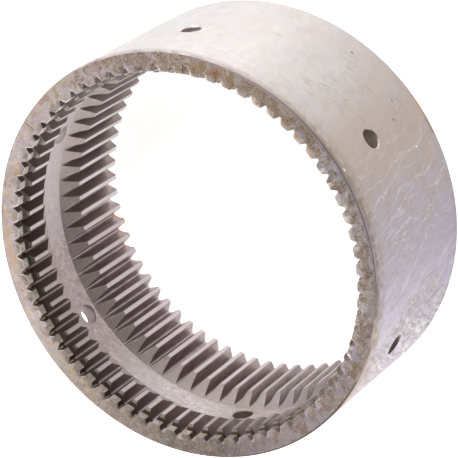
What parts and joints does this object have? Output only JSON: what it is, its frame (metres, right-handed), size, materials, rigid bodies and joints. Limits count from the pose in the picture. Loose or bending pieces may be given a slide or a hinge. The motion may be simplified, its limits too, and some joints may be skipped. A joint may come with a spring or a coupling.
{
  "type": "internal ring gear",
  "caption": "Internal ring gear with spur teeth in two sets either side of a drilled oil relief, and a retaining ring groove.",
  "frame": {"origin": "on the gear's axis, in the plane of its back face, which it rests on", "axes": "+Z along the gear's axis, out of the front face that has the retaining ring groove behind it; +X through one radial oil hole, which lines up with the centre of a tooth space"},
  "size_m": [0.233, 0.233, 0.1017],
  "materials": {
    "steel": "turned and shaped bare steel, lightly stained and scratched"
  },
  "bodies": {
    "root": {"ring_gear": "steel"}
  },
  "joints": []
}
